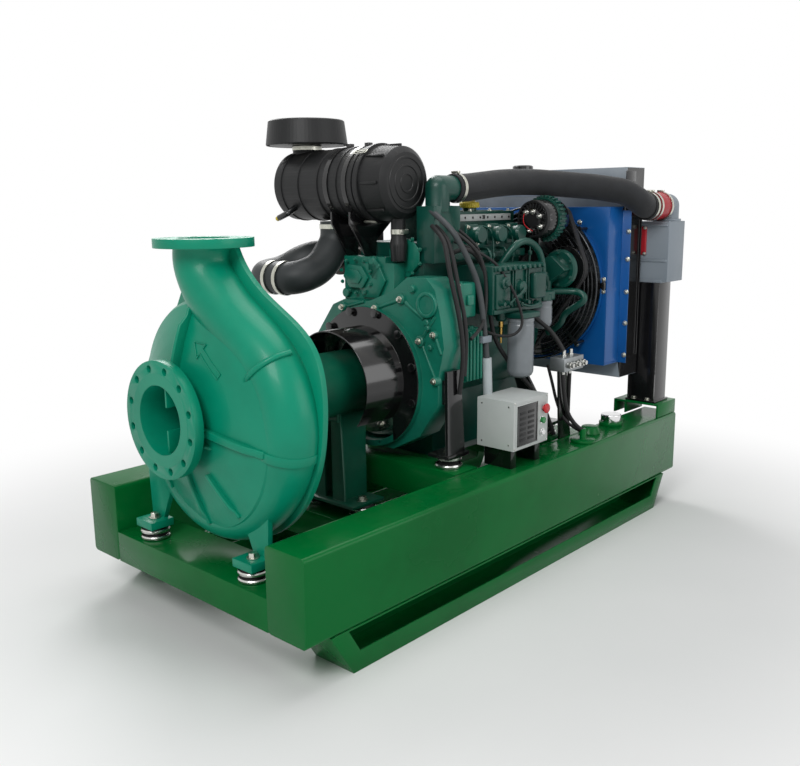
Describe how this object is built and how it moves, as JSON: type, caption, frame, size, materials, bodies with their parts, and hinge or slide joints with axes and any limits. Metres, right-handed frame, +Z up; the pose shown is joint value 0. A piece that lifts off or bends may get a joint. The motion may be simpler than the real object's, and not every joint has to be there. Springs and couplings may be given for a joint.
{
  "type": "diesel water pump",
  "caption": "Skid-mounted end-suction volute water pump with diesel engine, radiator, air cleaner and control box.",
  "frame": {"origin": "on the ground under the middle of the set's bounding box", "axes": "+X along the shaft from the suction flange to the radiator, -Y the side with the control box, +Z up"},
  "size_m": [2.153, 1.06, 1.559],
  "materials": {
    "skid_green": "gloss",
    "pump_green": "gloss",
    "engine_green": "satin",
    "blue_paint": "satin",
    "black_paint": "gloss",
    "grey_paint": "satin",
    "machined_steel": "brushed",
    "zinc_steel": "satin",
    "chrome_cap": "polished",
    "cast_iron": "rough",
    "aluminium": "satin",
    "filter_grey": "gloss",
    "black_rubber": "matte",
    "red_silicone": "satin",
    "black_plastic": "matte",
    "yellow_plastic": "satin",
    "red_plastic": "gloss",
    "green_plastic": "gloss",
    "filter_paper": "matte"
  },
  "bodies": {
    "frame_and_machine": {"left_side_beam": "skid_green", "right_side_beam": "skid_green", "skid_runners": "skid_green", "cross_members": "skid_green", "radiator_posts": "black_paint", "pump_casing": "pump_green", "casing_cover": "pump_green", "mechanical_seal": "machined_steel", "bearing_bracket": "pump_green", "shaft_bearings": "machined_steel", "pump_support_leg": "pump_green", "isolator_mounts": "black_rubber", "coupling_guard": "black_paint", "drive_belt": "black_rubber", "flywheel_housing": "engine_green", "engine_block": "engine_green", "oil_sump": "engine_green", "cylinder_head": "engine_green", "rocker_cover": "engine_green", "engine_covers": "engine_green", "engine_brackets": "engine_green", "coolant_pump": "engine_green", "alternator": "aluminium", "starter_motor": "black_paint", "exhaust_manifold": "cast_iron", "turbocharger": "cast_iron", "fuel_filters": "filter_grey", "engine_hoses": "black_rubber", "charge_air_hose": "black_rubber", "fan_shroud": "blue_paint", "fan_guard": "black_paint", "radiator_core": "aluminium", "radiator_tanks": "grey_paint", "silicone_sleeve": "red_silicone", "air_cleaner_housing": "black_plastic", "air_cleaner_cover": "black_plastic", "filter_element": "filter_paper", "rain_cap": "black_plastic", "intake_duct": "black_rubber", "control_box": "grey_paint", "tank_fittings": "skid_green", "bolts_and_clamps": "zinc_steel"},
    "rotor": {"pump_shaft": "machined_steel", "impeller": "cast_iron", "coupling_hub": "machined_steel", "coupling_element": "black_rubber", "flywheel": "cast_iron", "crankshaft": "machined_steel", "crank_pulley": "cast_iron"},
    "fan": {"cooling_fan": "black_plastic"},
    "alternator_rotor": {"alternator_pulley": "machined_steel"},
    "coolant_rotor": {"coolant_pump_pulley": "machined_steel"},
    "filler_cap_body": {"oil_filler_cap": "yellow_plastic"},
    "fuel_cap_body": {"fuel_cap": "chrome_cap"},
    "estop_body": {"emergency_stop_button": "red_plastic"},
    "start_body": {"start_button": "green_plastic"},
    "key_body": {"key_switch": "zinc_steel"},
    "left_latch_body": {"left_cover_latch": "zinc_steel"},
    "right_latch_body": {"right_cover_latch": "zinc_steel"},
    "top_latch_body": {"top_cover_latch": "zinc_steel"}
  },
  "joints": [
    {"name": "shaft_spin", "type": "hinge", "parent": "frame_and_machine", "child": "rotor", "pos_m": [0, 0, 0.67], "axis": [1, 0, 0], "continuous": true},
    {"name": "fan_spin", "type": "hinge", "parent": "frame_and_machine", "child": "fan", "pos_m": [0.6565, -0.085, 0.935], "axis": [1, 0, 0], "continuous": true},
    {"name": "alternator_spin", "type": "hinge", "parent": "frame_and_machine", "child": "alternator_rotor", "pos_m": [0.5765, -0.25, 1.199], "axis": [1, 0, 0], "continuous": true},
    {"name": "coolant_pump_spin", "type": "hinge", "parent": "frame_and_machine", "child": "coolant_rotor", "pos_m": [0.5765, -0.285, 1.01], "axis": [1, 0, 0], "continuous": true},
    {"name": "oil_filler_cap_turn", "type": "hinge", "parent": "frame_and_machine", "child": "filler_cap_body", "pos_m": [0.1985, -0.1, 1.25], "axis": [0, 0, 1], "range_deg": [0, 90]},
    {"name": "fuel_cap_lift", "type": "slide", "parent": "frame_and_machine", "child": "fuel_cap_body", "axis": [0, 0, 1], "range_m": [0, 0.08]},
    {"name": "estop_push", "type": "slide", "parent": "frame_and_machine", "child": "estop_body", "axis": [0, 1, 0], "range_m": [0, 0.005], "stiffness_N_per_m": 2000, "springref_m": -0.0015},
    {"name": "start_push", "type": "slide", "parent": "frame_and_machine", "child": "start_body", "axis": [0, 1, 0], "range_m": [0, 0.003], "stiffness_N_per_m": 1200, "springref_m": -0.0015},
    {"name": "key_turn", "type": "hinge", "parent": "frame_and_machine", "child": "key_body", "pos_m": [0.0935, -0.5, 0.487], "axis": [0, 1, 0], "range_deg": [0, 90]},
    {"name": "left_latch_swing", "type": "hinge", "parent": "frame_and_machine", "child": "left_latch_body", "pos_m": [-0.20012, 0.0475, 1.19892], "axis": [0.9397, 0, -0.342], "range_deg": [0, 70]},
    {"name": "right_latch_swing", "type": "hinge", "parent": "frame_and_machine", "child": "right_latch_body", "pos_m": [-0.24111, 0.0475, 1.43141], "axis": [-0.766, 0, -0.6428], "range_deg": [0, 70]},
    {"name": "top_latch_swing", "type": "hinge", "parent": "frame_and_machine", "child": "top_latch_body", "pos_m": [-0.01927, 0.0475, 1.35067], "axis": [-0.1736, 0, 0.9848], "range_deg": [0, 70]}
  ],
  "couplings": [
    {"joint": "fan_spin", "follows": "shaft_spin", "ratio": 1.2564},
    {"joint": "alternator_spin", "follows": "shaft_spin", "ratio": 2.5789},
    {"joint": "coolant_pump_spin", "follows": "shaft_spin", "ratio": 1.2564}
  ]
}
